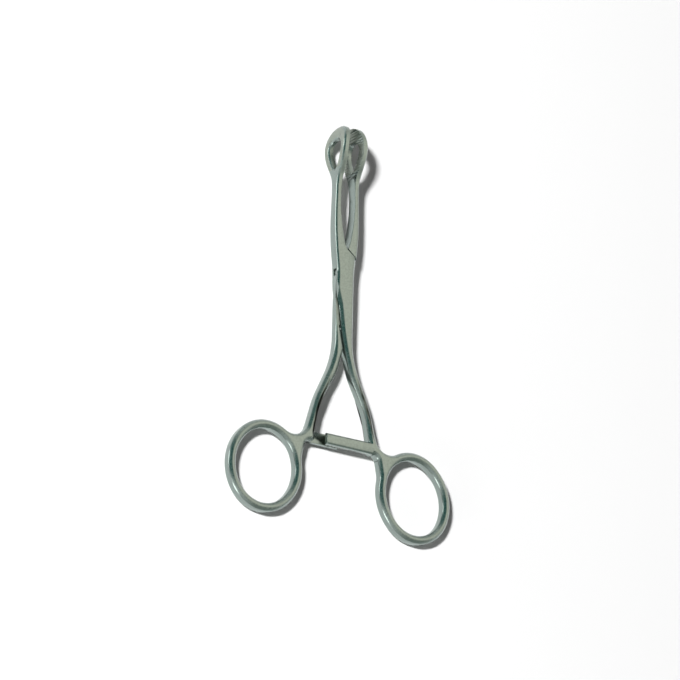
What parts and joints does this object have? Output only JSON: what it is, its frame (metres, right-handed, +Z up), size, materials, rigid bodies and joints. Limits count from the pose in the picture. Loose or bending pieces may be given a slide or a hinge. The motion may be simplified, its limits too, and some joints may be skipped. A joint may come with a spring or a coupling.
{
  "type": "organ holding forceps",
  "caption": "Straight box-lock forceps with two broad fenestrated jaws, two oval finger rings and a ratchet between the handles, for holding soft organs gently.",
  "frame": {"origin": "on the ground under the middle of the instrument, which lies on its side as it comes to rest, on the edges of its jaws and finger rings", "axes": "+Y along the instrument from the finger rings to the jaws, +X to the side of the finger ring that belongs to the box half, +Z up"},
  "size_m": [0.104, 0.1698, 0.0156],
  "materials": {
    "satin_steel": "satin, glass-bead finished, with polished edges",
    "pin_steel": "satin, ground flush with the box"
  },
  "bodies": {
    "box_side": {"box_half": "satin_steel", "joint_pin": "pin_steel"},
    "tongue_side": {"tongue_half": "satin_steel"}
  },
  "joints": [
    {"name": "box_lock_hinge", "type": "hinge", "parent": "box_side", "child": "tongue_side", "pos_m": [0, 0.0219, 0.00607], "axis": [0, 0.032, -0.9995], "range_deg": [-2.5, 35]}
  ]
}
